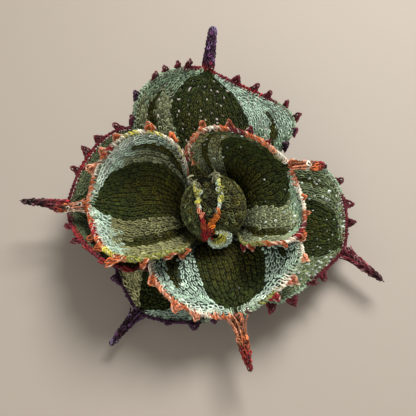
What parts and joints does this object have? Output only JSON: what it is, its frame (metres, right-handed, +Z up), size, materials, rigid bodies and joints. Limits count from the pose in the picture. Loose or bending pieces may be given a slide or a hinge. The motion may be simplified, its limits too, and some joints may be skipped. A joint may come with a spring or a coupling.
{
  "type": "crocheted agave rosette",
  "caption": "Ornamental crocheted succulent: cupped, toothed leaves with long terminal spines round a stuffed bud, free-standing on a low stuffed base.",
  "frame": {"origin": "middle of the flat underside of the base", "axes": "+Z up from the surface it stands on; -Y is the front, towards which the slit of the bud opens"},
  "size_m": [0.195, 0.1963, 0.0742],
  "materials": {
    "base_yarn": "matt crocheted cotton, dark olive, stuffed",
    "leaf_yarn": "matt crocheted cotton in bands of pale and dark green",
    "bud_yarn": "matt crocheted cotton, olive",
    "lip_yarn": "matt crocheted cotton, cream and yellow",
    "inner_edging_yarn": "matt variegated crochet cotton, orange, yellow, white and red",
    "outer_edging_yarn": "matt variegated crochet cotton, burgundy and purple"
  },
  "bodies": {
    "root": {"base": "base_yarn", "bud_core": "bud_yarn", "bud_shell": "bud_yarn", "bud_edging": "inner_edging_yarn", "bud_lip": "lip_yarn", "inner_left_blade": "leaf_yarn", "inner_front_blade": "leaf_yarn", "inner_right_blade": "leaf_yarn", "outer_back_blade": "leaf_yarn", "outer_left_blade": "leaf_yarn", "outer_front_blade": "leaf_yarn", "outer_right_blade": "leaf_yarn", "inner_left_edging": "inner_edging_yarn", "inner_front_edging": "inner_edging_yarn", "inner_right_edging": "inner_edging_yarn", "outer_back_edging": "outer_edging_yarn", "outer_left_edging": "outer_edging_yarn", "outer_front_edging": "outer_edging_yarn", "outer_right_edging": "outer_edging_yarn"}
  },
  "joints": []
}
